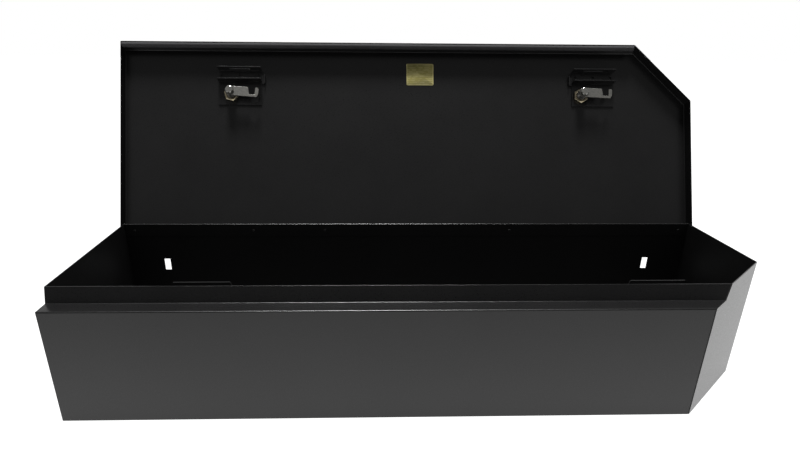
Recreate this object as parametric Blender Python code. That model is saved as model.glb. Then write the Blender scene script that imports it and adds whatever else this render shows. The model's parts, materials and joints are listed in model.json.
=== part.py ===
"""Steel tool box for a truck bed: a long low box with one clipped corner, its lid standing open.

Metres, +Z up. X runs along the box, -Y is the front, and the origin is the centre of the
floor's underside. The lid and its locks are built shut, about the hinge pin, and one empty on
the pin swings them open to the lid's stop.
"""

import math

import bmesh
import bpy
from mathutils import Vector

# Driving sizes of the tub
LENGTH = 1.2192
DEPTH = 0.4004
HEIGHT = 0.2260
SHEET = 0.0015
GAP = 0.0003
LEDGE_DEPTH = 0.0422
BAND_HEIGHT = 0.0257
BAND_LEAN = 0.0090
CHAMFER = 0.1065

END_X = LENGTH / 2
BACK_Y = DEPTH / 2
FRONT_Y = -DEPTH / 2
RIM_Y = FRONT_Y + LEDGE_DEPTH
LEDGE_Z = HEIGHT - BAND_HEIGHT
CHAMFER_Y = RIM_Y + CHAMFER

# Back wall
HEM_DEPTH = 0.0267
SLOT_SIZE = (0.0125, 0.0250)
SLOT_X = (-END_X + 0.0815, END_X - 0.0820)
SLOT_Z = HEIGHT - 0.0905

# Continuous hinge outside the back wall
PIN_RADIUS = 0.0016
KNUCKLE_RADIUS = 0.0045
KNUCKLE_PITCH = 0.0254
KNUCKLE_COUNT = 47
KNUCKLE_SIDES = 20
LEAF_SHEET = 0.0015
LEAF_DROP = 0.0250
PIN_DROP = 0.0065
PIN_Y = BACK_Y + GAP + KNUCKLE_RADIUS
PIN_Z = HEIGHT - PIN_DROP
OPEN_ANGLE = math.radians(116)

# Rivets that hold the hinge's body leaf through the back wall and its hem
RIVET_X = (-0.588, -0.336, -0.184, 0.216, 0.588)
RIVET_DROP = 0.0085
RIVET_RADIUS = 0.0016
RIVET_HEAD = (0.0032, 0.0009)
RIVET_SINK = (0.0027, 0.0011)

# Lid, measured from the hinge pin with the lid shut
LID_UNDER = PIN_DROP + GAP
LID_SIDE_CLEARANCE = 0.0015
LID_FRONT_CLEARANCE = 0.0185
LID_CLIP = 0.1131
FLANGE_DEPTH = 0.0245
FRONT_FLANGE_LEAN = math.radians(16.5)
LID_X = END_X + LID_SIDE_CLEARANCE
LID_FRONT = RIM_Y - LID_FRONT_CLEARANCE - PIN_Y
REAR_FLANGE_Y = KNUCKLE_RADIUS + GAP

# Locks and their brackets: distances back from the lid's front fold, and heights off the panel
LOCK_FROM_FOLD = 0.0958
LOCK_X = {"left": -0.3833, "right": 0.3782}
BRACKET_X = {"left": -0.3651, "right": 0.4057}
STRIKER_X = {"left": -0.3720, "right": 0.3985}
MIRROR = {"left": 1, "right": -1}
CAM_REST = {"left": math.radians(-4.5), "right": math.radians(-3.0)}
NUT_TURN = {"left": math.radians(15), "right": 0.0}
BRACKET_SHEET = 0.0020
BRACKET_LENGTH = 0.0925
BRACKET_FROM_FOLD = (0.0417, 0.0683)
BRACKET_REACH = 0.1180
BRACKET_FLANGE = 0.0200
BRACKET_SLOT = (0.0440, 0.0050)
BRACKET_HOLE_RADIUS = 0.0030
EAR_LENGTH = 0.0080
EAR_FROM_FOLD = (0.0535, 0.0730)
EAR_HEIGHT = 0.0082
LOCK_HOLE_RADIUS = 0.0102
BARREL_RADIUS = 0.0095
BARREL_END = 0.0228
LOCK_FACE_RADIUS = 0.0145
LOCK_FACE_HEIGHT = 0.0045
PLUG_RADIUS = 0.0065
NUT_WIDTH = 0.0280
NUT_HEIGHT = 0.0060
CAM_SHEET = 0.0030
CAM_WIDTH = 0.0196
CAM_REACH = 0.0610
WASHER_RADIUS = 0.0094
WASHER_HEIGHT = 0.0014
BOLT_WIDTH = 0.0143
BOLT_HEAD = 0.0050
BOLT_RADIUS = 0.0030
BOLT_HOLE_RADIUS = 0.0034
BOLT_HOLE_END = 0.0110

# Striker: an angle under the ledge whose standing leg has a window for the cam
STRIKER_Y = RIM_Y + 0.0390
STRIKER_TOP = HEIGHT - 0.0088
STRIKER_BASE = LEDGE_Z - SHEET - GAP
STRIKER_LENGTH = 0.0940
STRIKER_SHEET = 0.0020
STRIKER_CORNER = 0.0060
WINDOW_HEIGHT = 0.0085
WINDOW_REACH = (-0.0120, 0.0510)

LABEL_SIZE = (0.0590, 0.0475)
LABEL_X = 0.0250
LABEL_FROM_FOLD = 0.0490
LABEL_THICKNESS = 0.0003

MATERIALS = {
    "black_powder": ((0.012, 0.012, 0.013), 0.38, 0.0),
    "black_inside": ((0.010, 0.010, 0.010), 0.50, 0.0),
    "zinc_steel": ((0.60, 0.60, 0.58), 0.30, 1.0),
    "yellow_zinc": ((0.78, 0.66, 0.36), 0.28, 1.0),
    "pin_steel": ((0.35, 0.35, 0.36), 0.40, 1.0),
    "label_film": ((0.42, 0.36, 0.12), 0.35, 0.0),
}


# ---------------------------------------------------------------- helpers


def clear_scene():
    for obj in list(bpy.data.objects):
        bpy.data.objects.remove(obj, do_unlink=True)


def material(name):
    made = bpy.data.materials.get(name)
    if made is None:
        colour, roughness, metallic = MATERIALS[name]
        made = bpy.data.materials.new(name)
        made.use_nodes = True
        shader = made.node_tree.nodes["Principled BSDF"]
        shader.inputs["Base Color"].default_value = (*colour, 1.0)
        shader.inputs["Roughness"].default_value = roughness
        shader.inputs["Metallic"].default_value = metallic
    return made


def add_object(name, shape, finish, parent=None, smooth=False, shell=False):
    """The bmesh as a named object with its material."""
    if not shell:
        bmesh.ops.recalc_face_normals(shape, faces=shape.faces)
    mesh = bpy.data.meshes.new(name)
    shape.to_mesh(mesh)
    shape.free()
    mesh.materials.append(material(finish))
    if smooth:
        mesh.shade_smooth()
        mesh.set_sharp_from_angle(angle=math.radians(35))
    obj = bpy.data.objects.new(name, mesh)
    bpy.context.scene.collection.objects.link(obj)
    obj.parent = parent
    return obj


def add_empty(name, location, parent=None):
    empty = bpy.data.objects.new(name, None)
    empty.location = location
    empty.parent = parent
    bpy.context.scene.collection.objects.link(empty)
    return empty


def prism(outline, thickness, shape=None):
    """An outline in 3-D, extruded along the vector thickness."""
    shape = shape or bmesh.new()
    face = shape.faces.new([shape.verts.new(point) for point in outline])
    moved = bmesh.ops.extrude_face_region(shape, geom=[face])["geom"]
    corners = [item for item in moved if isinstance(item, bmesh.types.BMVert)]
    bmesh.ops.translate(shape, verts=corners, vec=thickness)
    return shape


def face_away(shape, centre):
    """Turns the faces of an open shell to point away from a centre inside it."""
    bmesh.ops.recalc_face_normals(shape, faces=shape.faces)
    away = sum((f.calc_center_median() - centre).dot(f.normal) * f.calc_area() for f in shape.faces)
    if away < 0:
        bmesh.ops.reverse_faces(shape, faces=shape.faces)


def box(low, high):
    outline = [
        (low[0], low[1], low[2]),
        (high[0], low[1], low[2]),
        (high[0], high[1], low[2]),
        (low[0], high[1], low[2]),
    ]
    return prism(outline, Vector((0, 0, high[2] - low[2])))


def round_points(radius, steps, height, turn=0.0):
    angles = [turn + 2 * math.pi * i / steps for i in range(steps)]
    return [(radius * math.cos(a), radius * math.sin(a), height) for a in angles]


def turned(profile, steps=32):
    """A closed profile of (radius, height) points turned about Z."""
    shape = bmesh.new()
    rings = []
    for radius, height in profile:
        if radius == 0:
            rings.append([shape.verts.new((0, 0, height))] * steps)
        else:
            points = round_points(radius, steps, height)
            rings.append([shape.verts.new(point) for point in points])
    for first, second in zip(rings, rings[1:] + rings[:1]):
        for i in range(steps):
            j = (i + 1) % steps
            corners = list(dict.fromkeys((first[i], first[j], second[j], second[i])))
            if len(corners) > 2:
                shape.faces.new(corners)
    return shape


def boolean(obj, other, operation="DIFFERENCE"):
    modifier = obj.modifiers.new(operation.lower(), "BOOLEAN")
    modifier.operation = operation
    modifier.solver = "EXACT"
    modifier.object = other
    other.hide_render = True
    other.display_type = "WIRE"


def cut(obj, name, shape, parent=None):
    boolean(obj, add_object(name, shape, "black_powder", parent))


def join(obj, name, shape, parent=None):
    boolean(obj, add_object(name, shape, "black_powder", parent), "UNION")


def thicken(obj, side):
    """Gives a shell the sheet's thickness on one side of its faces, 1 outward or -1 inward."""
    walls = obj.modifiers.new("thickness", "SOLIDIFY")
    walls.solidify_mode = "NON_MANIFOLD"
    walls.nonmanifold_thickness_mode = "CONSTRAINTS"
    walls.thickness = SHEET
    walls.offset = side


# ---------------------------------------------------------------- tub


def front_profile(inset):
    """The front's outer line in (y, z) from rim to floor, moved back by inset."""
    band = math.atan2(BAND_LEAN, BAND_HEIGHT)
    along = inset * math.tan((math.pi / 2 - band) / 2)
    return [
        (RIM_Y + inset / math.cos(band), HEIGHT),
        (RIM_Y - BAND_LEAN + along, LEDGE_Z - inset),
        (FRONT_Y + inset, LEDGE_Z - inset),
        (FRONT_Y + inset, 0.0),
    ]


def chamfer_x(y, inset=0.0):
    """X of the chamfer face at y, or of a face inset behind it."""
    return END_X - CHAMFER + (y - RIM_Y) - inset * math.sqrt(2)


def build_front_panel():
    outer = front_profile(0.0)
    line = outer + front_profile(SHEET)[::-1]
    low_x = -END_X + SHEET + GAP
    shape = bmesh.new()
    left = [shape.verts.new((low_x, y, z)) for y, z in line]
    right = [shape.verts.new((chamfer_x(y, SHEET + GAP), y, z)) for y, z in line]
    shape.faces.new(left)
    shape.faces.new(right[::-1])
    for i in range(len(line)):
        j = (i + 1) % len(line)
        shape.faces.new((left[i], left[j], right[j], right[i]))
    add_object("front_panel", shape, "black_powder")


def floor_outline(inset):
    front = FRONT_Y + inset
    side = END_X - inset
    back = BACK_Y - inset
    chamfer_start = (chamfer_x(front, inset), front)
    chamfer_end = (side, RIM_Y + CHAMFER + inset * (math.sqrt(2) - 1))
    return [(-side, front), chamfer_start, chamfer_end, (side, back), (-side, back)]


def build_floor():
    outline = [(x, y, 0.0) for x, y in floor_outline(SHEET + GAP)]
    add_object("floor_panel", prism(outline, Vector((0, 0, SHEET))), "black_powder")


def build_back_panel():
    side = END_X - SHEET - GAP
    inner = BACK_Y - SHEET
    hem = inner - GAP
    line = [
        (BACK_Y, 0.0),
        (BACK_Y, HEIGHT),
        (hem - SHEET, HEIGHT),
        (hem - SHEET, HEIGHT - HEM_DEPTH),
        (hem, HEIGHT - HEM_DEPTH),
        (hem, HEIGHT - SHEET),
        (inner, HEIGHT - SHEET),
        (inner, 0.0),
    ]
    outline = [(-side, y, z) for y, z in line]
    panel = add_object("back_panel", prism(outline, Vector((2 * side, 0, 0))), "black_powder")
    for number, x in enumerate(SLOT_X):
        low = (x - SLOT_SIZE[0] / 2, inner - SHEET, SLOT_Z - SLOT_SIZE[1] / 2)
        high = (x + SLOT_SIZE[0] / 2, BACK_Y + SHEET, SLOT_Z + SLOT_SIZE[1] / 2)
        cut(panel, f"slot_cutter_{number}", box(low, high))


def build_left_end():
    outline = [(-END_X, y, z) for y, z in front_profile(0.0)]
    outline += [(-END_X, BACK_Y, 0.0), (-END_X, BACK_Y, HEIGHT)]
    add_object("left_end_plate", prism(outline, Vector((SHEET, 0, 0))), "black_powder")


def build_right_end():
    """End wall and chamfer wall in one bent sheet."""
    shape = bmesh.new()
    profile = [shape.verts.new((chamfer_x(y), y, z)) for y, z in front_profile(0.0)]
    fold = [shape.verts.new((END_X, CHAMFER_Y, z)) for z in (0.0, HEIGHT)]
    back = [shape.verts.new((END_X, BACK_Y, z)) for z in (0.0, HEIGHT)]
    shape.faces.new(profile + fold)
    shape.faces.new((fold[1], fold[0], back[0], back[1]))
    face_away(shape, Vector((0, 0, HEIGHT / 2)))
    thicken(add_object("right_end_plate", shape, "black_powder", shell=True), -1)


def striker_leg():
    """The striker's standing leg: a plate with clipped top corners, in X and Z."""
    half = STRIKER_LENGTH / 2
    top, base = STRIKER_TOP, STRIKER_BASE
    line = [
        (-half - STRIKER_CORNER, base - STRIKER_SHEET),
        (half + STRIKER_CORNER, base - STRIKER_SHEET),
        (half + STRIKER_CORNER, top - 2 * STRIKER_CORNER),
        (half, top),
        (-half, top),
        (-half - STRIKER_CORNER, top - 2 * STRIKER_CORNER),
    ]
    outline = [(x, STRIKER_Y, z) for x, z in line]
    return prism(outline, Vector((0, STRIKER_SHEET, 0)))


def build_striker(side):
    name = f"striker_{side}"
    leg = add_object(name, striker_leg(), "black_inside")
    leg.location.x = STRIKER_X[side]
    half = STRIKER_LENGTH / 2 + STRIKER_CORNER
    low = (-half, FRONT_Y + SHEET + LEDGE_DEPTH / 4, STRIKER_BASE - STRIKER_SHEET)
    high = (half, STRIKER_Y + STRIKER_SHEET / 2, STRIKER_BASE)
    join(leg, f"{name}_base", box(low, high), leg)
    lock = LOCK_X[side] - STRIKER_X[side]
    low = (lock + WINDOW_REACH[0], STRIKER_Y - STRIKER_SHEET, STRIKER_BASE + GAP)
    high = (lock + WINDOW_REACH[1], STRIKER_Y + 2 * STRIKER_SHEET, low[2] + WINDOW_HEIGHT)
    cut(leg, f"{name}_window", box(low, high), leg)


# ---------------------------------------------------------------- hinge


def knuckle(shape, low_x):
    """One tube of the hinge round the pin line, from low_x for one pitch less a gap."""
    bore = PIN_RADIUS + GAP
    rings = []
    for x in (low_x, low_x + KNUCKLE_PITCH - GAP):
        for radius in (KNUCKLE_RADIUS, bore):
            ring = []
            for i in range(KNUCKLE_SIDES):
                angle = 2 * math.pi * (i + 0.5) / KNUCKLE_SIDES
                point = (x, radius * math.cos(angle), radius * math.sin(angle))
                ring.append(shape.verts.new(point))
            rings.append(ring)
    outer_low, inner_low, outer_high, inner_high = rings
    for i in range(KNUCKLE_SIDES):
        j = (i + 1) % KNUCKLE_SIDES
        shape.faces.new((outer_low[i], outer_low[j], outer_high[j], outer_high[i]))
        shape.faces.new((inner_low[j], inner_low[i], inner_high[i], inner_high[j]))
        shape.faces.new((outer_low[j], outer_low[i], inner_low[i], inner_low[j]))
        shape.faces.new((outer_high[i], outer_high[j], inner_high[j], inner_high[i]))


def build_leaf(name, first, y, free_z, parent):
    """A hinge leaf whose free edge is at free_z, with teeth and tubes at every second pitch."""
    start = -KNUCKLE_COUNT * KNUCKLE_PITCH / 2
    notch = math.copysign(KNUCKLE_RADIUS + GAP, free_z)
    tubes = bmesh.new()
    teeth = []
    for i in range(first, KNUCKLE_COUNT, 2):
        low = start + i * KNUCKLE_PITCH
        high = low + KNUCKLE_PITCH - GAP
        teeth += [(low, notch), (low, 0.0), (high, 0.0), (high, notch)]
        knuckle(tubes, low)
    ends = [(-start - GAP, free_z), (start, free_z)]
    if first:
        ends = [(-start - GAP, notch), *ends, (start, notch)]
    outline = [(x, y, z) for x, z in teeth + ends]
    leaf = add_object(name, prism(outline, Vector((0, LEAF_SHEET, 0))), "black_powder", parent)
    join(leaf, f"{name}_tubes", tubes, parent)
    return leaf


def build_pin(parent):
    half = KNUCKLE_COUNT * KNUCKLE_PITCH / 2
    shape = turned([(0, -half), (PIN_RADIUS, -half), (PIN_RADIUS, half), (0, half)], KNUCKLE_SIDES)
    pin = add_object("hinge_pin", shape, "pin_steel", parent, smooth=True)
    pin.rotation_euler.y = math.pi / 2


def build_rivets(leaf):
    """Rivets along Y through hem, back wall and leaf, flush outside so that the lid swings clear."""
    panel = bpy.data.objects["back_panel"]
    level = PIN_Z - RIVET_DROP
    wall = 2 * SHEET + GAP
    inside = BACK_Y - wall - GAP
    flush = BACK_Y + LEAF_SHEET + GAP / 2
    seat = flush - RIVET_SINK[1]
    head, height = RIVET_HEAD
    profile = [
        (0, inside - height),
        (head * 0.6, inside - height),
        (head, inside),
        (RIVET_RADIUS, inside),
        (RIVET_RADIUS, seat),
        (RIVET_SINK[0], flush),
        (0, flush),
    ]
    clear = RIVET_RADIUS + GAP
    mouth = RIVET_SINK[0] + GAP
    bore = [(0, inside - height), (clear, inside - height), (clear, seat), (mouth, flush)]
    bore += [(mouth, flush + height), (0, flush + height)]
    for number, x in enumerate(RIVET_X, 1):
        stand = add_empty(f"rivet_axis_{number}", (x, 0, level))
        stand.rotation_euler.x = -math.pi / 2
        add_object(f"hinge_rivet_{number}", turned(profile, 12), "zinc_steel", stand, smooth=True)
        hole = add_object(f"rivet_hole_{number}", turned(bore, 12), "black_powder", stand)
        boolean(panel, hole)
        boolean(leaf, hole)


# ---------------------------------------------------------------- lid


def build_lid_panel(parent):
    """Panel and flanges as one bent sheet, drawn as the shell of its inner faces."""
    lean = FLANGE_DEPTH * math.tan(FRONT_FLANGE_LEAN)
    low = LID_UNDER - FLANGE_DEPTH
    shape = bmesh.new()

    def corner(x, y, z):
        return shape.verts.new((x, y, z))

    front_left = corner(-LID_X, LID_FRONT, LID_UNDER)
    front_right = corner(LID_X - LID_CLIP, LID_FRONT, LID_UNDER)
    clip_end = corner(LID_X, LID_FRONT + LID_CLIP, LID_UNDER)
    rear_right = corner(LID_X, REAR_FLANGE_Y, LID_UNDER)
    rear_left = corner(-LID_X, REAR_FLANGE_Y, LID_UNDER)
    low_front_left = corner(-LID_X, LID_FRONT - lean, low)
    low_front_right = corner(LID_X - LID_CLIP - lean, LID_FRONT - lean, low)
    low_clip_end = corner(LID_X, LID_FRONT + LID_CLIP, low)
    low_rear_right = corner(LID_X, REAR_FLANGE_Y, low)
    low_rear_left = corner(-LID_X, REAR_FLANGE_Y, low)
    pin_rear_right = corner(LID_X, REAR_FLANGE_Y, 0)
    pin_rear_left = corner(-LID_X, REAR_FLANGE_Y, 0)
    for face in (
        (front_left, front_right, clip_end, rear_right, rear_left),
        (front_left, low_front_left, low_front_right, front_right),
        (front_right, low_front_right, low_clip_end, clip_end),
        (clip_end, low_clip_end, low_rear_right, pin_rear_right, rear_right),
        (rear_right, pin_rear_right, pin_rear_left, rear_left),
        (rear_left, pin_rear_left, low_rear_left, low_front_left, front_left),
    ):
        shape.faces.new(face)
    face_away(shape, Vector((0, LID_FRONT / 2, LID_UNDER - FLANGE_DEPTH / 2)))
    panel = add_object("lid_panel", shape, "black_powder", parent, shell=True)
    thicken(panel, 1)
    for side, x in LOCK_X.items():
        profile = [(0, 0.0), (LOCK_HOLE_RADIUS, 0.0), (LOCK_HOLE_RADIUS, 0.02), (0, 0.02)]
        hole = turned(profile, 24)
        middle = (x, LID_FRONT + LOCK_FROM_FOLD, LID_UNDER - 0.01)
        bmesh.ops.translate(hole, verts=hole.verts, vec=middle)
        cut(panel, f"lock_hole_{side}", hole, parent)


def inside_frame(name, x, from_fold, parent):
    """An empty on the lid's inner face: X along the box, Y to the front fold, Z off the panel."""
    frame = add_empty(name, (x, LID_FRONT + from_fold, LID_UNDER), parent)
    frame.rotation_euler.x = math.pi
    return frame


def build_label(parent):
    frame = inside_frame("label_frame", LABEL_X, LABEL_FROM_FOLD, parent)
    half_x, half_y = LABEL_SIZE[0] / 2, LABEL_SIZE[1] / 2
    low = (-half_x, -half_y, GAP)
    high = (half_x, half_y, GAP + LABEL_THICKNESS)
    add_object("label_plate", box(low, high), "label_film", frame)


def build_bracket(side, frame):
    """Guard bracket: a base plate under the lock nut, two flanges astride the striker, an ear."""
    name = f"lock_bracket_{side}"
    out = MIRROR[side]
    middle = BRACKET_X[side] - LOCK_X[side]
    half = BRACKET_LENGTH / 2
    floor = GAP
    top = floor + BRACKET_SHEET
    upper, lower = (LOCK_FROM_FOLD - d for d in BRACKET_FROM_FOLD)
    bottom = LOCK_FROM_FOLD - BRACKET_REACH
    base = box((middle - half, bottom, floor), (middle + half, upper, top))
    bracket = add_object(name, base, "black_inside", frame)

    flange = box(
        (middle - half, upper - BRACKET_SHEET, floor), (middle + half, upper, BRACKET_FLANGE)
    )
    join(bracket, f"{name}_upper", flange, frame)
    flange = box(
        (middle - half, lower, floor), (middle + half, lower + BRACKET_SHEET, BRACKET_FLANGE)
    )
    join(bracket, f"{name}_lower", flange, frame)

    ear_low, ear_high = (LOCK_FROM_FOLD - d for d in EAR_FROM_FOLD[::-1])
    inner = middle + out * (half - BRACKET_SHEET)
    outer = middle + out * (half + EAR_LENGTH)
    ear = box((min(inner, outer), ear_low, floor), (max(inner, outer), ear_high, top))
    join(bracket, f"{name}_ear", ear, frame)
    inner = outer - out * BRACKET_SHEET
    tab = box((min(inner, outer), ear_low, floor), (max(inner, outer), ear_high, EAR_HEIGHT))
    join(bracket, f"{name}_tab", tab, frame)

    slot_x, slot_z = BRACKET_SLOT[0] / 2, BRACKET_SLOT[1] / 2
    level = (top + BRACKET_FLANGE) / 2
    slot = box(
        (middle - slot_x, upper - 2 * BRACKET_SHEET, level - slot_z),
        (middle + slot_x, upper + BRACKET_SHEET, level + slot_z),
    )
    cut(bracket, f"{name}_slot", slot, frame)
    between = (upper + lower) / 2
    for number, x in enumerate((-half * 0.84, 0.0, half * 0.84)):
        hole = turned(
            [(0, -0.001), (BRACKET_HOLE_RADIUS, -0.001), (BRACKET_HOLE_RADIUS, 0.004), (0, 0.004)], 12
        )
        bmesh.ops.translate(hole, verts=hole.verts, vec=(middle + x, between, 0))
        cut(bracket, f"{name}_hole_{number}", hole, frame)
    bore = turned([(0, -0.001), (LOCK_HOLE_RADIUS, -0.001), (LOCK_HOLE_RADIUS, 0.004), (0, 0.004)], 24)
    cut(bracket, f"{name}_bore", bore, frame)


def build_lock_body(side, frame):
    """The barrel that passes through the lid, with its face outside, and the nut that holds it."""
    bore = PLUG_RADIUS + GAP
    seat = -SHEET - GAP
    profile = [
        (bore, seat - LOCK_FACE_HEIGHT),
        (LOCK_FACE_RADIUS * 0.86, seat - LOCK_FACE_HEIGHT),
        (LOCK_FACE_RADIUS, seat - LOCK_FACE_HEIGHT * 0.6),
        (LOCK_FACE_RADIUS, seat),
        (BARREL_RADIUS, seat),
        (BARREL_RADIUS, BARREL_END - 2 * GAP),
        (bore, BARREL_END - 2 * GAP),
    ]
    add_object(f"lock_housing_{side}", turned(profile), "zinc_steel", frame, smooth=True)

    low = GAP + BRACKET_SHEET + GAP
    corner_radius = NUT_WIDTH / math.sqrt(3)
    turn = -math.pi / 2 + NUT_TURN[side]
    outline = round_points(corner_radius, 6, low, turn)
    nut = add_object(
        f"lock_nut_{side}", prism(outline, Vector((0, 0, NUT_HEIGHT))), "yellow_zinc", frame
    )
    hole = BARREL_RADIUS + GAP
    bore = turned([(0, 0.0), (hole, 0.0), (hole, 0.02), (0, 0.02)], 32)
    cut(nut, f"lock_nut_bore_{side}", bore, frame)


def cam_outline():
    """The hook cam seen from inside the lid: a rounded boss, an arm, and an open notch."""
    half = CAM_WIDTH / 2
    boss = [
        (half * math.cos(math.radians(a)), half * math.sin(math.radians(a)))
        for a in range(90, 271, 20)
    ]
    notch_floor = 0.0050 - half
    tip = CAM_REACH
    hook = [
        (tip - 0.0035, -half),
        (tip - 0.0006, -half * 0.5),
        (tip, 0.0),
        (tip - 0.0002, half * 0.75),
        (tip - 0.0016, half),
        (tip - 0.0062, half),
        (tip - 0.0072, half - 0.0012),
        (tip - 0.0076, notch_floor),
        (tip - 0.0196, notch_floor),
        (tip - 0.0224, half - 0.0014),
        (tip - 0.0238, half),
    ]
    return boss + hook


def build_cam_set(side, frame):
    """Key plug, cam, washer and bolt, which turn together inside the barrel."""
    axis = add_empty(f"cam_axis_{side}", (0, 0, 0), frame)
    axis.rotation_euler.z = CAM_REST[side]
    outside = -SHEET - GAP - LOCK_FACE_HEIGHT
    profile = [
        (0, outside + 0.0008),
        (PLUG_RADIUS, outside + 0.0008),
        (PLUG_RADIUS, BARREL_END),
        (BOLT_HOLE_RADIUS, BARREL_END),
        (BOLT_HOLE_RADIUS, BOLT_HOLE_END),
        (0, BOLT_HOLE_END),
    ]
    plug = add_object(f"lock_plug_{side}", turned(profile, 24), "zinc_steel", axis, smooth=True)
    keyway = box((-0.0042, -0.0011, outside - 0.001), (0.0042, 0.0011, outside + 0.006))
    cut(plug, f"keyway_{side}", keyway, axis)

    low = BARREL_END + GAP
    outline = [(x, y, low) for x, y in cam_outline()]
    cam = add_object(f"cam_{side}", prism(outline, Vector((0, 0, CAM_SHEET))), "zinc_steel", axis)
    hole = turned(
        [(0, 0.0), (BOLT_HOLE_RADIUS, 0.0), (BOLT_HOLE_RADIUS, 0.03), (0, 0.03)], 16
    )
    cut(cam, f"cam_bore_{side}", hole, axis)

    low += CAM_SHEET + GAP
    profile = [
        (BOLT_HOLE_RADIUS, low),
        (WASHER_RADIUS, low),
        (WASHER_RADIUS, low + WASHER_HEIGHT),
        (BOLT_HOLE_RADIUS, low + WASHER_HEIGHT),
    ]
    add_object(f"cam_washer_{side}", turned(profile, 24), "zinc_steel", axis, smooth=True)

    low += WASHER_HEIGHT + GAP
    outline = round_points(BOLT_WIDTH / math.sqrt(3), 6, low)
    head = prism(outline, Vector((0, 0, BOLT_HEAD)))
    bolt = add_object(f"cam_bolt_{side}", head, "zinc_steel", axis)
    shank_end = BOLT_HOLE_END + 2 * GAP
    shank = turned(
        [(0, shank_end), (BOLT_RADIUS, shank_end), (BOLT_RADIUS, low + 0.001), (0, low + 0.001)], 16
    )
    join(bolt, f"cam_bolt_shank_{side}", shank, axis)


# ---------------------------------------------------------------- the whole box


def build():
    clear_scene()
    build_front_panel()
    build_floor()
    build_back_panel()
    build_left_end()
    build_right_end()
    hinge = add_empty("hinge_line", (0, PIN_Y, PIN_Z))
    lid = add_empty("lid_axis", (0, PIN_Y, PIN_Z))
    lid.rotation_euler.x = -OPEN_ANGLE
    body_leaf = build_leaf("hinge_leaf_body", 0, -KNUCKLE_RADIUS, -LEAF_DROP, hinge)
    build_leaf("hinge_leaf_lid", 1, KNUCKLE_RADIUS - LEAF_SHEET, PIN_DROP, lid)
    build_pin(hinge)
    build_rivets(body_leaf)
    build_lid_panel(lid)
    build_label(lid)
    for side, x in LOCK_X.items():
        build_striker(side)
        frame = inside_frame(f"lock_frame_{side}", x, LOCK_FROM_FOLD, lid)
        build_bracket(side, frame)
        build_lock_body(side, frame)
        build_cam_set(side, frame)


build()
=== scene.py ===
"""Looks of the steel truck tool box: formed sheet, powder coat, plated locks, studio and camera.

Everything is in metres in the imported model's frame. X runs along the box, -Y is the front and the
tub stands on z = 0. The lid stands open at rest.
"""

import json
import math

import bmesh
import bpy
from mathutils import Matrix, Vector


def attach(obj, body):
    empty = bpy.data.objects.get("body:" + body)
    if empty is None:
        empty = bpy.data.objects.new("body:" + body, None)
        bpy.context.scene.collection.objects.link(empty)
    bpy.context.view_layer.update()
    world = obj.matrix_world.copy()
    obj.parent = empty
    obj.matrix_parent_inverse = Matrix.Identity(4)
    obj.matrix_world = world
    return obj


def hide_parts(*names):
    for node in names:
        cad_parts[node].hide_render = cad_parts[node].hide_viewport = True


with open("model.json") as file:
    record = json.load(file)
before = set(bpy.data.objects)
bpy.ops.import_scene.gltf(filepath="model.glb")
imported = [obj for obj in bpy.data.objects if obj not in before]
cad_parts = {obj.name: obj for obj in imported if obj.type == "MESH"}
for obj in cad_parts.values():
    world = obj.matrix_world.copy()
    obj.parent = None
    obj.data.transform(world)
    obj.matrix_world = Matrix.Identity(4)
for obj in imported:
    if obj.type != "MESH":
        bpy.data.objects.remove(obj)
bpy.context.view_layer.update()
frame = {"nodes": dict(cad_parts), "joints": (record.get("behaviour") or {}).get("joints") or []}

NODES = frame["nodes"]
JOINTS = {joint["name"]: joint for joint in frame["joints"]}
SIDES = ("left", "right")

# CAD points closer than this count as level with each other
NEAR = 0.0002

# Sheet metal: bend radii are inside ones, and an ease is the width of a broken edge
SHEET = 0.0015
BEND_INSIDE = 0.0016
FRONT_BEND_INSIDE = 0.0009
NO_BEND = 0.0
CUT_EASE = 0.00024
STRIKER_EASE = 0.0001
WIDEST_BEVEL = 0.0060
BEND_STEPS = 3
WELD_OVERLAP = 0.0005
TUB_CENTRE = Vector((0.0, 0.0, 0.10))

# Which CAD edges are bends and which are cuts, by their turn in radians and by the width of
# their narrower face in sheets. A face narrower than a cut's is a sliver, and its edges stay sharp.
MERGE_DISTANCE = 2e-6
FLAT_TURN = math.radians(0.6)
LEAST_TURN = math.radians(14)
LEAST_CUT_TURN = math.radians(32)
CUT_FACE_FROM = 0.75
BENT_FACE_FROM = 1.5
BEVEL_SHARE = 0.4

# Camera: a pinhole whose lens is shifted off its centre
CAMERA_AT = (-0.1079, -1.0594, 0.5857)
CAMERA_PITCH = math.radians(25.16)
CAMERA_YAW = math.radians(-1.94)
CAMERA_ROLL = math.radians(0.486)
SENSOR = 36.0
FOCAL_SHARE = 0.7514
SHIFT = (0.0262, 0.1121)


# ---------------------------------------------------------------- materials


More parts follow.
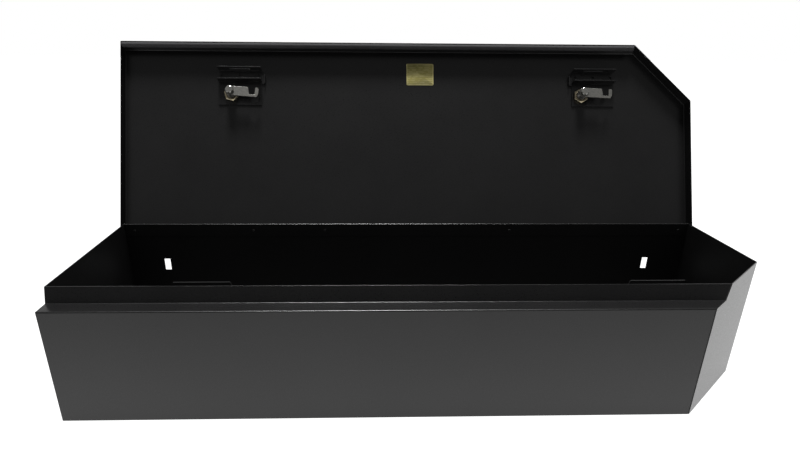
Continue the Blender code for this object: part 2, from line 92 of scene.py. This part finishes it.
class Nodes:
    """A material's node tree, with short calls to add and link nodes."""

    def __init__(self, name):
        self.material = bpy.data.materials.new(name)
        self.material.use_nodes = True
        self.tree = self.material.node_tree
        self.shader = self.tree.nodes["Principled BSDF"]

    def add(self, kind, **settings):
        node = self.tree.nodes.new(kind)
        for key, value in settings.items():
            if key in node.inputs:
                node.inputs[key].default_value = value
            else:
                setattr(node, key, value)
        return node

    def link(self, source, target):
        self.tree.links.new(source, target)

    def coordinates(self):
        return self.add("ShaderNodeTexCoord").outputs["Object"]

    def noise(self, scale, detail=2.0, roughness=0.5, stretch=None):
        """A noise's value over the object, with its grain drawn out along the axes of stretch."""
        place = self.coordinates()
        if stretch:
            mapping = self.add("ShaderNodeMapping")
            mapping.inputs["Scale"].default_value = stretch
            self.link(place, mapping.inputs["Vector"])
            place = mapping.outputs["Vector"]
        node = self.add("ShaderNodeTexNoise", Scale=scale, Detail=detail, Roughness=roughness)
        self.link(place, node.inputs["Vector"])
        return node.outputs["Fac"]

    def math(self, operation, first, second=0.0):
        """One sum on two values, each a socket or a number."""
        node = self.add("ShaderNodeMath", operation=operation)
        for target, value in zip(node.inputs, (first, second)):
            if isinstance(value, (int, float)):
                target.default_value = value
            else:
                self.link(value, target)
        return node.outputs["Value"]

    def spread(self, value, low, high, start=0.0, end=1.0):
        """The value's stretch from start to end spread between low and high."""
        node = self.add("ShaderNodeMapRange")
        sockets = ("From Min", "From Max", "To Min", "To Max")
        for socket, number in zip(sockets, (start, end, low, high)):
            node.inputs[socket].default_value = number
        self.link(value, node.inputs["Value"])
        return node.outputs["Result"]

    def blend(self, value, first, second):
        """A colour between two, by the value."""
        node = self.add("ShaderNodeMix", data_type="RGBA")
        self.link(value, node.inputs["Factor"])
        for socket, colour in (("A", first), ("B", second)):
            target = next(i for i in node.inputs if i.name == socket and i.type == "RGBA")
            if isinstance(colour, tuple):
                target.default_value = (*colour, 1.0)
            else:
                self.link(colour, target)
        return next(o for o in node.outputs if o.type == "RGBA")

    def bump(self, height, distance, strength=1.0, below=None):
        node = self.add("ShaderNodeBump", Strength=strength, Distance=distance)
        self.link(height, node.inputs["Height"])
        if below:
            self.link(below, node.inputs["Normal"])
        return node.outputs["Normal"]


# Powder coat: scales are in cells per metre, heights in metres
CLOUD_SCALE, CLOUD_EDGES = 9.0, (0.35, 0.70)
SPECK_SCALE, SPECK_EDGES = 420.0, (0.3, 0.7)
SPECK_GLOSS = (-0.03, 0.05)
WAVE_SCALE, WAVE_HEIGHT, WAVE_STRENGTH = 4.0, 0.0015, 0.12
PEEL_SCALE, PEEL_HEIGHT = 900.0, 0.00002


def powder_coat(name, colour, lighter, roughness, peel):
    """Baked powder: orange peel, slow waves in the sheet, and a little dust in the gloss."""
    nodes = Nodes(name)
    cloud = nodes.noise(CLOUD_SCALE, detail=4.0, roughness=0.6)
    tone = nodes.spread(cloud, 0.0, 1.0, *CLOUD_EDGES)
    nodes.link(nodes.blend(tone, colour, lighter), nodes.shader.inputs["Base Color"])
    speck = nodes.noise(SPECK_SCALE, detail=3.0, roughness=0.7)
    low, high = (roughness + change for change in SPECK_GLOSS)
    nodes.link(nodes.spread(speck, low, high, *SPECK_EDGES), nodes.shader.inputs["Roughness"])
    wave = nodes.bump(nodes.noise(WAVE_SCALE, detail=1.0), WAVE_HEIGHT, WAVE_STRENGTH)
    skin = nodes.noise(PEEL_SCALE, detail=2.0, roughness=0.6)
    nodes.link(nodes.bump(skin, PEEL_HEIGHT, peel, wave), nodes.shader.inputs["Normal"])
    return nodes.material


# Plating
MOTTLE_SCALE, MOTTLE_EDGES = 260.0, (0.35, 0.65)
GRAIN_SCALE, GRAIN_HEIGHT, GRAIN_STRENGTH = 1400.0, 0.00003, 0.6
GRAIN_GLOSS = (-0.07, 0.09)


def plated(name, colour, tint, roughness, grain=(1.0, 1.0, 1.0)):
    """Plated steel: a mottled passivated colour over a fine drawn or tumbled grain."""
    nodes = Nodes(name)
    nodes.shader.inputs["Metallic"].default_value = 1.0
    cloud = nodes.noise(MOTTLE_SCALE, detail=3.0, roughness=0.6)
    mottle = nodes.spread(cloud, 0.0, 1.0, *MOTTLE_EDGES)
    nodes.link(nodes.blend(mottle, colour, tint), nodes.shader.inputs["Base Color"])
    drawn = nodes.noise(GRAIN_SCALE, detail=2.0, roughness=0.6, stretch=grain)
    low, high = (roughness + change for change in GRAIN_GLOSS)
    nodes.link(nodes.spread(drawn, low, high), nodes.shader.inputs["Roughness"])
    nodes.link(nodes.bump(drawn, GRAIN_HEIGHT, GRAIN_STRENGTH), nodes.shader.inputs["Normal"])
    return nodes.material


# Label: scales in cells per metre, sizes in metres, and the split's height from its middle; the
# darker colour above the split is painted shade
LABEL_ROWS = 220.0
LABEL_ROW_EDGE = 0.1
LABEL_WORDS = 90.0
LABEL_WORD_STRETCH = (1.0, 2.4, 1.0)
LABEL_WORD_EDGE = 0.47
LABEL_BORDER = 0.0020
LABEL_SHADE_SPLIT = -0.0065
# The upper colour is the film's own colour darkened as painted shade
LABEL_UPPER_PAINTED_SHADE = (0.47, 0.42, 0.13)
LABEL_LOWER = (0.57, 0.51, 0.16)
LABEL_PRINT, LABEL_PRINT_STRENGTH = (0.78, 0.72, 0.36), 0.75
LABEL_BORDER_COLOUR = (0.80, 0.72, 0.32)
LABEL_WORN, LABEL_WORN_STRENGTH = (0.34, 0.31, 0.14), 0.22
LABEL_SCUFF_SCALE, LABEL_SCUFF_EDGES = 60.0, (0.4, 0.7)
LABEL_GLOSS_SCALE, LABEL_GLOSS = 500.0, (0.26, 0.40)
LABEL_CREASE_SCALE, LABEL_CREASE_HEIGHT, LABEL_CREASE_STRENGTH = 70.0, 0.0002, 0.3


def label_film(half_x, half_y):
    """Olive film: a pale border, short plain bars in rows where print would be, and painted shade
    on its upper part.
    """
    nodes = Nodes("label_film")
    parts = nodes.add("ShaderNodeSeparateXYZ")
    nodes.link(nodes.coordinates(), parts.inputs["Vector"])
    across, up = parts.outputs["X"], parts.outputs["Y"]

    bars = nodes.math("SINE", nodes.math("MULTIPLY", up, LABEL_ROWS * 2 * math.pi))
    rows = nodes.math("GREATER_THAN", bars, LABEL_ROW_EDGE)
    cells = nodes.noise(LABEL_WORDS, detail=3.0, roughness=0.6, stretch=LABEL_WORD_STRETCH)
    words = nodes.math("GREATER_THAN", cells, LABEL_WORD_EDGE)
    print_mask = nodes.math("MULTIPLY", rows, words)

    side = nodes.math("GREATER_THAN", nodes.math("ABSOLUTE", across), half_x - LABEL_BORDER)
    end = nodes.math("GREATER_THAN", nodes.math("ABSOLUTE", up), half_y - LABEL_BORDER)
    border = nodes.math("MAXIMUM", side, end)
    # Below the split the film has its own colour; above it, painted shade
    lower = nodes.math("LESS_THAN", up, LABEL_SHADE_SPLIT)

    field = nodes.blend(lower, LABEL_UPPER_PAINTED_SHADE, LABEL_LOWER)
    ink = nodes.math("MULTIPLY", print_mask, LABEL_PRINT_STRENGTH)
    field = nodes.blend(ink, field, LABEL_PRINT)
    field = nodes.blend(border, field, LABEL_BORDER_COLOUR)
    scuffs = nodes.noise(LABEL_SCUFF_SCALE, detail=4.0, roughness=0.6)
    worn = nodes.spread(scuffs, 0.0, LABEL_WORN_STRENGTH, *LABEL_SCUFF_EDGES)
    nodes.link(nodes.blend(worn, field, LABEL_WORN), nodes.shader.inputs["Base Color"])
    gloss = nodes.spread(nodes.noise(LABEL_GLOSS_SCALE), *LABEL_GLOSS)
    nodes.link(gloss, nodes.shader.inputs["Roughness"])
    creases = nodes.noise(LABEL_CREASE_SCALE, detail=1.0)
    film = nodes.bump(creases, LABEL_CREASE_HEIGHT, LABEL_CREASE_STRENGTH)
    nodes.link(film, nodes.shader.inputs["Normal"])
    return nodes.material


MATERIALS = {
    "outside": powder_coat(
        "black_powder", (0.0054, 0.0053, 0.0055), (0.0074, 0.0073, 0.0075), 0.29, 0.5
    ),
    # inside: a rougher copy of the black coat whose lighter colour is painted light, for faces
    # turned into the tub, the strikers and the rivets
    "inside": powder_coat(
        "black_powder_inside_painted_light", (0.0090, 0.0088, 0.0092), (0.0120, 0.0118, 0.0122), 0.52, 0.7
    ),
    # edge: a far lighter and rougher copy of the black coat for the rolled edge; its lighter colour
    # is a painted highlight where light catches the roll
    "edge": powder_coat(
        "black_powder_edge_painted_highlight", (0.030, 0.029, 0.031), (0.036, 0.035, 0.037), 0.80, 0.7
    ),
    "zinc": plated("zinc_plate", (0.40, 0.39, 0.36), (0.31, 0.31, 0.29), 0.36),
    "bright": plated("bright_zinc_plate", (0.66, 0.65, 0.60), (0.55, 0.55, 0.52), 0.22),
    "dull": plated("dull_zinc_plate", (0.20, 0.195, 0.18), (0.14, 0.14, 0.13), 0.40),
    "thread": plated("zinc_thread", (0.30, 0.29, 0.27), (0.20, 0.20, 0.19), 0.36),
    "yellow": plated("yellow_zinc_plate", (0.62, 0.52, 0.33), (0.50, 0.46, 0.36), 0.27),
    "pin": plated("drawn_pin_steel", (0.36, 0.36, 0.37), (0.28, 0.28, 0.29), 0.38, (0.1, 1.0, 1.0)),
}


# ---------------------------------------------------------------- pieces from the frame


def clean_copy(node):
    """The CAD node's mesh with its flat faces whole again."""
    shape = bmesh.new()
    shape.from_mesh(NODES[node].data)
    bmesh.ops.remove_doubles(shape, verts=shape.verts, dist=MERGE_DISTANCE)
    bmesh.ops.dissolve_limit(
        shape, angle_limit=FLAT_TURN, verts=shape.verts, edges=shape.edges
    )
    return shape


def face_width(face):
    """The width of a long strip with the face's area and outline."""
    perimeter = sum(edge.calc_length() for edge in face.edges)
    return 2 * face.calc_area() / perimeter


def weigh_edges(shape, bend, ease):
    """Bevel weights: a bend's radius where two wide faces meet, and a light ease on cut edges."""
    weight = shape.edges.layers.float.new("bevel_weight_edge")
    for edge in shape.edges:
        if len(edge.link_faces) != 2:
            continue
        turn = edge.calc_face_angle(0.0)
        if turn < LEAST_TURN:
            continue
        narrow = min(face_width(face) for face in edge.link_faces)
        if bend and narrow < CUT_FACE_FROM * SHEET:
            continue
        offset = ease
        if bend and narrow > BENT_FACE_FROM * SHEET:
            radius = bend + SHEET if edge.is_convex else bend
            offset = radius * math.tan(turn / 2)
        elif turn < LEAST_CUT_TURN:
            continue
        edge[weight] = min(offset, BEVEL_SHARE * narrow) / WIDEST_BEVEL


def placed(name, shape, finish, body, stands_for=None, at=None):
    """The mesh as a piece that rides on a body, and may stand for a CAD node."""
    mesh = bpy.data.meshes.new(name)
    shape.to_mesh(mesh)
    shape.free()
    mesh.materials.append(MATERIALS[finish])
    mesh.shade_smooth()
    piece = bpy.data.objects.new(name, mesh)
    if at:
        piece.matrix_world = at
    bpy.context.scene.collection.objects.link(piece)
    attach(piece, body)
    if stands_for:
        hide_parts(stands_for)
    return piece


def flat_faces_stay_flat(piece):
    """Smooth shading that leaves the wide faces level."""
    weighted = piece.modifiers.new("flat_faces", "WEIGHTED_NORMAL")
    weighted.mode = "FACE_AREA"
    weighted.weight = 100
    weighted.keep_sharp = True
    weighted.use_face_influence = True


def close_welds(shape, axes):
    """Grows a sheet into its neighbours along these axes, so no light passes a welded joint."""
    for axis in axes:
        places = [vert.co[axis] for vert in shape.verts]
        middle = (max(places) + min(places)) / 2
        growth = 1 + 2 * WELD_OVERLAP / (max(places) - min(places))
        for vert in shape.verts:
            vert.co[axis] = middle + (vert.co[axis] - middle) * growth


def formed(node, finish, body, bend=BEND_INSIDE, ease=CUT_EASE, painted_light_lining=None, welded=()):
    """A CAD sheet with rolled bends and eased edges, and perhaps a lighter copy of its coat, as
    painted light, on faces turned to the tub's middle.
    """
    shape = clean_copy(node)
    close_welds(shape, welded)
    weigh_edges(shape, bend, ease)
    # Faces turned to the tub's middle take the lighter copy of the coat: painted light
    for face in shape.faces:
        inwards = TUB_CENTRE - face.calc_center_median()
        face.material_index = int(painted_light_lining is not None and face.normal.dot(inwards) > 0)
    piece = placed(f"{node}_formed", shape, finish, body, node)
    if painted_light_lining:
        piece.data.materials.append(MATERIALS[painted_light_lining])
    bevel = piece.modifiers.new("formed_edges", "BEVEL")
    bevel.limit_method = "WEIGHT"
    bevel.width = WIDEST_BEVEL
    bevel.segments = BEND_STEPS
    bevel.use_clamp_overlap = False
    bevel.face_strength_mode = "FSTR_ALL"
    flat_faces_stay_flat(piece)


# ---------------------------------------------------------------- locks


RING_POINTS = 96
EASE_WIDTH = 0.00018
EASE_STEPS = 2
SHARP_TURN = 24
THREAD_SHARP_TURN = 55

# Hexagons: the flat top's radius as a share of the width, and the chamfer's slope
HEX_TOP = 0.475
CHAMFER_SLOPE = math.tan(math.radians(30))

# Nut: the hole's chamfers, as (widening, depth)
NUT_MOUTH = (0.0011, 0.0009)
NUT_FOOT = (0.0005, 0.0004)

# Housing: the outside face's rounded rim, as (share of its radius, height)
FACE_RIM = ((0.84, 0.0), (0.93, 0.0004), (1.0, 0.0018))
BARREL_TIP = 0.0005
THREAD_PITCH = 0.0013
THREAD_DEPTH = 0.00045
THREAD_STEPS = 8
THREAD_RUNOUT = 0.25

# Bolt: the shank's tapered tip, and the dished head as (share of the width, depth)
SHANK_TIP = (0.8, 0.0006)
HEAD_DISH = ((0.36, 0.0), (0.32, 0.00025))

# Shares of a radius past which a CAD point is on the rim
FACE_RIM_FROM = 0.98
HEAD_RIM_FROM = 0.95


def lock_frame(side):
    """The lock's own axes at rest: X along the box, Y up the open lid, Z off its inner face."""
    joint = JOINTS[f"lock_{side}_turn"]
    out = Vector(joint["axis"]).normalized()
    along = Vector((1, 0, 0))
    up = out.cross(along)
    turned = Matrix((along, up, out)).transposed().to_4x4()
    return Matrix.Translation(joint["pos_m"]) @ turned


def in_frame(node, at):
    """The CAD node's points in the axes of at."""
    back = at.inverted()
    return [back @ vertex.co for vertex in NODES[node].data.vertices]


def reach(node, at):
    """The CAD node's lowest and highest Z, and its least and greatest radius about Z."""
    points = in_frame(node, at)
    heights = [p.z for p in points]
    radii = [math.hypot(p.x, p.y) for p in points]
    return min(heights), max(heights), min(radii), max(radii)


def ring_solid(rings, closed):
    """A surface through equal rings of points: a closed loop of rings, or capped at both ends."""
    shape = bmesh.new()
    rows = [[shape.verts.new(point) for point in points] for points in rings]
    pairs = list(zip(rows, rows[1:]))
    if closed:
        pairs.append((rows[-1], rows[0]))
    for lower, upper in pairs:
        for i, vertex in enumerate(lower):
            j = (i + 1) % len(lower)
            shape.faces.new((vertex, lower[j], upper[j], upper[i]))
    if not closed:
        shape.faces.new(rows[0][::-1])
        shape.faces.new(rows[-1])
    bmesh.ops.recalc_face_normals(shape, faces=shape.faces)
    return shape


def ring(radius, height):
    """Points round Z, where radius and height may be functions of the angle."""
    found = []
    for i in range(RING_POINTS):
        angle = 2 * math.pi * i / RING_POINTS
        r = radius(angle) if callable(radius) else radius
        z = height(angle, r) if callable(height) else height
        found.append((r * math.cos(angle), r * math.sin(angle), z))
    return found


def hexagon(across_flats, corner):
    """The radius of a hexagon at each angle, with one corner at the given angle."""
    sixth = math.pi / 3

    def radius(angle):
        off = (angle - corner) % sixth - sixth / 2
        return across_flats / 2 / math.cos(off)

    return radius


def hex_outside(across_flats, corner, low, high, chamfer_low):
    """The rings of a hexagon's side, with its corners turned off at the top and perhaps below."""
    radius = hexagon(across_flats, corner)
    inscribed = HEX_TOP * across_flats
    rings = []
    if chamfer_low:
        rings.append(ring(inscribed, low))
        rings.append(ring(radius, lambda angle, r: low + (r - inscribed) * CHAMFER_SLOPE))
    else:
        rings.append(ring(radius, low))
    rings.append(ring(radius, lambda angle, r: high - (r - inscribed) * CHAMFER_SLOPE))
    rings.append(ring(inscribed, high))
    return rings


def corner_angle(node, at):
    """The angle of the CAD node's outermost corner about Z."""
    far = max(in_frame(node, at), key=lambda p: math.hypot(p.x, p.y))
    return math.atan2(far.y, far.x)


def with_sharp_edges(piece, limit=SHARP_TURN):
    """A fine rounding, to catch the light, on edges that turn by more than the limit in degrees."""
    bevel = piece.modifiers.new("eased_edges", "BEVEL")
    bevel.limit_method = "ANGLE"
    bevel.angle_limit = math.radians(limit)
    bevel.width = EASE_WIDTH
    bevel.segments = EASE_STEPS
    bevel.face_strength_mode = "FSTR_ALL"
    flat_faces_stay_flat(piece)


def build_nut(side, at):
    """The barrel nut, with turned corners and a chamfered hole."""
    node = f"lock_nut_{side}"
    low, high, hole, corner_radius = reach(node, at)
    across_flats = corner_radius * math.sqrt(3)
    rings = hex_outside(across_flats, corner_angle(node, at), low, high, True)
    rings += [ring(hole + NUT_MOUTH[0], high), ring(hole, high - NUT_MOUTH[1])]
    rings += [ring(hole, low + NUT_FOOT[1]), ring(hole + NUT_FOOT[0], low)]
    nut = placed(f"{node}_turned", ring_solid(rings, True), "yellow", "lid", node, at)
    with_sharp_edges(nut)


def build_housing(side, at):
    """The lock's barrel with its thread, and its face outside the lid."""
    node = f"lock_housing_{side}"
    low, high, bore, face = reach(node, at)
    points = in_frame(node, at)
    barrel = max(math.hypot(p.x, p.y) for p in points if p.z > high - NEAR)
    seat = max(p.z for p in points if math.hypot(p.x, p.y) > FACE_RIM_FROM * face)
    rings = [ring(bore, low)]
    rings += [ring(share * face, low + height) for share, height in FACE_RIM]
    rings += [ring(face, seat), ring(barrel, seat)]
    turns = (high - seat) / THREAD_PITCH
    steps = int(turns * THREAD_STEPS)
    for step in range(1, steps):
        z = seat + (high - seat) * step / steps
        fade = min(1.0, min(step, steps - step) / (THREAD_RUNOUT * THREAD_STEPS))

        def radius(angle, z=z, fade=fade):
            phase = ((z - seat) / THREAD_PITCH + angle / (2 * math.pi)) % 1.0
            return barrel - fade * THREAD_DEPTH * abs(2 * phase - 1)

        rings.append(ring(radius, z))
    rings += [ring(barrel - BARREL_TIP, high), ring(bore, high)]
    housing = placed(f"{node}_threaded", ring_solid(rings, True), "thread", "lid", node, at)
    with_sharp_edges(housing, THREAD_SHARP_TURN)


def build_bolt(side, at):
    """The cam bolt, its hexagon head dished on top."""
    node = f"cam_bolt_{side}"
    points = in_frame(node, at)
    low = min(p.z for p in points)
    high = max(p.z for p in points)
    corner_radius = max(math.hypot(p.x, p.y) for p in points)
    rim = HEAD_RIM_FROM * corner_radius
    head_low = min(p.z for p in points if math.hypot(p.x, p.y) > rim)
    shank = max(math.hypot(p.x, p.y) for p in points if p.z < low + NEAR)
    across_flats = corner_radius * math.sqrt(3)
    rings = [ring(SHANK_TIP[0] * shank, low), ring(shank, low + SHANK_TIP[1])]
    rings += [ring(shank, head_low)]
    rings += hex_outside(across_flats, corner_angle(node, at), head_low, high, False)
    rings += [ring(share * across_flats, high - depth) for share, depth in HEAD_DISH]
    bolt = placed(
        f"{node}_turned", ring_solid(rings, False), "bright", f"latch_{side}", node, at
    )
    with_sharp_edges(bolt)


# ---------------------------------------------------------------- label and rolled edge


LABEL_CORNER = 0.0028
LABEL_CORNER_STEPS = 6


def build_label():
    """The film with rounded corners, in axes of its own for its pattern."""
    at = lock_frame("left")
    points = in_frame("label_plate", at)
    low = Vector(min(p[i] for p in points) for i in range(3))
    high = Vector(max(p[i] for p in points) for i in range(3))
    half = (high - low) / 2
    at = at @ Matrix.Translation((low + high) / 2)
    MATERIALS["label"] = label_film(half.x, half.y)
    outline = []
    for quarter in range(4):
        sign_x = 1 if quarter in (0, 3) else -1
        sign_y = 1 if quarter in (0, 1) else -1
        for step in range(LABEL_CORNER_STEPS + 1):
            angle = math.radians(90 * (quarter + step / LABEL_CORNER_STEPS))
            x = sign_x * (half.x - LABEL_CORNER) + LABEL_CORNER * math.cos(angle)
            y = sign_y * (half.y - LABEL_CORNER) + LABEL_CORNER * math.sin(angle)
            outline.append((x, y))
    rings = [[(x, y, z) for x, y in outline] for z in (-half.z, half.z)]
    placed("label_plate_rounded", ring_solid(rings, False), "label", "lid", "label_plate", at)


# Rolled edge: it lies this far under the flange's outer face, and ends this far short of its sides
CURL_RADIUS = 0.0052
CURL_COVER = 0.0002
CURL_INSET = 0.0025
CURL_STEPS = 24
CURL_ARC = (math.radians(-70), math.radians(235))
CURL_SHARP_TURN = 40


def build_front_curl():
    """The rolled free edge of the lid's front flange, inside the lid, in a lighter copy of the
    coat: a painted highlight.
    """
    at = lock_frame("left")
    points = in_frame("lid_panel", at)
    tip = max(points, key=lambda p: p.y)
    ends = [p.x for p in points if p.y > tip.y - NEAR]
    fold = max((p for p in points if p.z < NEAR - SHEET), key=lambda p: p.y)
    run = Vector((0, tip.y - fold.y, tip.z - fold.z)).normalized()
    inward = Vector((0, -run.z, run.y))
    centre = Vector((0, tip.y, tip.z)) - CURL_RADIUS * run
    centre += (CURL_RADIUS + CURL_COVER) * inward
    outline = []
    for radius, way in ((CURL_RADIUS, 1), (CURL_RADIUS - SHEET, -1)):
        for step in range(CURL_STEPS + 1)[::way]:
            angle = CURL_ARC[0] + (CURL_ARC[1] - CURL_ARC[0]) * step / CURL_STEPS
            spoke = math.cos(angle) * -inward + math.sin(angle) * run
            outline.append(centre + radius * spoke)
    sides = (min(ends) + CURL_INSET, max(ends) - CURL_INSET)
    rings = [[(x, p.y, p.z) for p in outline] for x in sides]
    # The roll wears the lighter edge coat, a painted highlight
    curl = placed("lid_front_curl", ring_solid(rings, False), "edge", "lid", at=at)
    with_sharp_edges(curl, CURL_SHARP_TURN)


# ---------------------------------------------------------------- every piece


# The tub's sheets wear the lighter copy of the coat inside, as painted light
formed("front_panel", "outside", "tub", FRONT_BEND_INSIDE, painted_light_lining="inside", welded=(0,))
formed("back_panel", "outside", "tub", painted_light_lining="inside", welded=(0,))
formed("floor_panel", "outside", "tub", painted_light_lining="inside", welded=(0, 1))
for name in ("left_end_plate", "right_end_plate"):
    formed(name, "outside", "tub", painted_light_lining="inside")
formed("lid_panel", "outside", "lid")
build_front_curl()
for side in SIDES:
    # The strikers wear the lighter inside coat: painted light
    formed(f"striker_{side}", "inside", "tub", NO_BEND, STRIKER_EASE)
    formed(f"lock_bracket_{side}", "outside", "lid")
    for name, finish in (("lock_plug", "zinc"), ("cam", "zinc"), ("cam_washer", "dull")):
        formed(f"{name}_{side}", finish, f"latch_{side}", NO_BEND)
    build_housing(side, lock_frame(side))
    build_nut(side, lock_frame(side))
    build_bolt(side, lock_frame(side))
build_label()
formed("hinge_leaf_body", "outside", "tub", NO_BEND)
formed("hinge_leaf_lid", "outside", "lid", NO_BEND)
NODES["hinge_pin"].data.materials[0] = MATERIALS["pin"]
# The rivets wear the lighter inside coat: painted light, so they show faintly
for name, node in NODES.items():
    if name.startswith("hinge_rivet"):
        node.data.materials[0] = MATERIALS["inside"]


# ---------------------------------------------------------------- studio and camera

# Floor: pale paper that glows, less so in front of the box, between the Y places of the fade
FLOOR_SIZE = 40.0
FLOOR_SHADE = (0.06, 0.06, 0.06, 1.0)
FLOOR_ROUGHNESS = 0.9
FLOOR_GLOW = 1.16
FLOOR_FRONT_GLOW = 0.72
FLOOR_FADE = (-0.30, -0.80)
WHITE = (1.0, 1.0, 1.0, 1.0)

# Lights: the sun's height only places its symbol; a band is (height, grey)
SUN_HEIGHT = 3.0
SUN_STRENGTH = 5.1
SUN_ANGLE = math.radians(14)
SUN_TIP = math.radians(-5)
FRONT_BANDS = ((0.0, 0.03), (0.30, 0.05), (0.57, 0.19), (0.78, 0.14))
BACK_BANDS = ((0.0, 0.80), (0.30, 0.50), (0.60, 0.20), (0.80, 0.10))
BAND_BLEND = 0.2


def build_floor():
    """A wide sheet of pale paper, which glows so that it meets the background."""
    shape = bmesh.new()
    bmesh.ops.create_grid(shape, x_segments=1, y_segments=1, size=FLOOR_SIZE / 2)
    mesh = bpy.data.meshes.new("floor")
    shape.to_mesh(mesh)
    shape.free()
    paper = Nodes("floor_paper")
    paper.shader.inputs["Base Color"].default_value = FLOOR_SHADE
    paper.shader.inputs["Roughness"].default_value = FLOOR_ROUGHNESS
    paper.shader.inputs["Emission Color"].default_value = WHITE
    parts = paper.add("ShaderNodeSeparateXYZ")
    paper.link(paper.coordinates(), parts.inputs["Vector"])
    glow = paper.spread(parts.outputs["Y"], FLOOR_GLOW, FLOOR_FRONT_GLOW, *FLOOR_FADE)
    paper.link(glow, paper.shader.inputs["Emission Strength"])
    mesh.materials.append(paper.material)
    floor = bpy.data.objects.new("floor", mesh)
    bpy.context.scene.collection.objects.link(floor)


def bands(tree, height, levels):
    """Grey by height, through the given (height, grey) stops."""
    ramp = tree.nodes.new("ShaderNodeValToRGB")
    tree.links.new(height, ramp.inputs["Fac"])
    stops = ramp.color_ramp.elements
    while len(stops) < len(levels):
        stops.new(1.0)
    for stop, (position, level) in zip(stops, levels):
        stop.position = position
        stop.color = (level, level, level, 1.0)
    return ramp.outputs["Color"]


def build_world():
    """White to the camera; as light, bright and low behind the box, and dim in front of it."""
    world = bpy.data.worlds.new("studio")
    bpy.context.scene.world = world
    world.use_nodes = True
    tree = world.node_tree
    place = tree.nodes.new("ShaderNodeTexCoord")
    parts = tree.nodes.new("ShaderNodeSeparateXYZ")
    tree.links.new(place.outputs["Generated"], parts.inputs["Vector"])
    turn = tree.nodes.new("ShaderNodeMapRange")
    turn.inputs["From Min"].default_value = -BAND_BLEND
    turn.inputs["From Max"].default_value = BAND_BLEND
    tree.links.new(parts.outputs["Y"], turn.inputs["Value"])
    mix = tree.nodes.new("ShaderNodeMix")
    mix.data_type = "RGBA"
    tree.links.new(turn.outputs["Result"], mix.inputs["Factor"])
    colours = [socket for socket in mix.inputs if socket.type == "RGBA"]
    tree.links.new(bands(tree, parts.outputs["Z"], FRONT_BANDS), colours[0])
    tree.links.new(bands(tree, parts.outputs["Z"], BACK_BANDS), colours[1])
    lit = tree.nodes["Background"]
    tree.links.new(next(o for o in mix.outputs if o.type == "RGBA"), lit.inputs["Color"])
    seen = tree.nodes.new("ShaderNodeBackground")
    seen.inputs["Color"].default_value = WHITE
    path = tree.nodes.new("ShaderNodeLightPath")
    choose = tree.nodes.new("ShaderNodeMixShader")
    tree.links.new(path.outputs["Is Camera Ray"], choose.inputs["Fac"])
    tree.links.new(lit.outputs["Background"], choose.inputs[1])
    tree.links.new(seen.outputs["Background"], choose.inputs[2])
    tree.links.new(choose.outputs["Shader"], tree.nodes["World Output"].inputs["Surface"])


def build_sun():
    """A wide overhead light, tipped to the back."""
    light = bpy.data.lights.new("overhead_softbox", "SUN")
    light.energy = SUN_STRENGTH
    light.angle = SUN_ANGLE
    lamp = bpy.data.objects.new("overhead_softbox", light)
    lamp.location.z = SUN_HEIGHT
    lamp.rotation_euler.x = SUN_TIP
    bpy.context.scene.collection.objects.link(lamp)


def build_camera():
    """The view from the front, above the rim."""
    data = bpy.data.cameras.new("camera")
    data.sensor_width = SENSOR
    data.lens = FOCAL_SHARE * SENSOR
    data.shift_x, data.shift_y = SHIFT
    camera = bpy.data.objects.new("camera", data)
    turn = Matrix.Rotation(CAMERA_YAW, 4, "Z")
    tilt = Matrix.Rotation(math.pi / 2 - CAMERA_PITCH, 4, "X")
    roll = Matrix.Rotation(CAMERA_ROLL, 4, "Z")
    camera.matrix_world = Matrix.Translation(CAMERA_AT) @ turn @ tilt @ roll
    bpy.context.scene.collection.objects.link(camera)
    bpy.context.scene.camera = camera


build_floor()
build_world()
build_sun()
build_camera()
bpy.context.scene.view_settings.view_transform = "Standard"
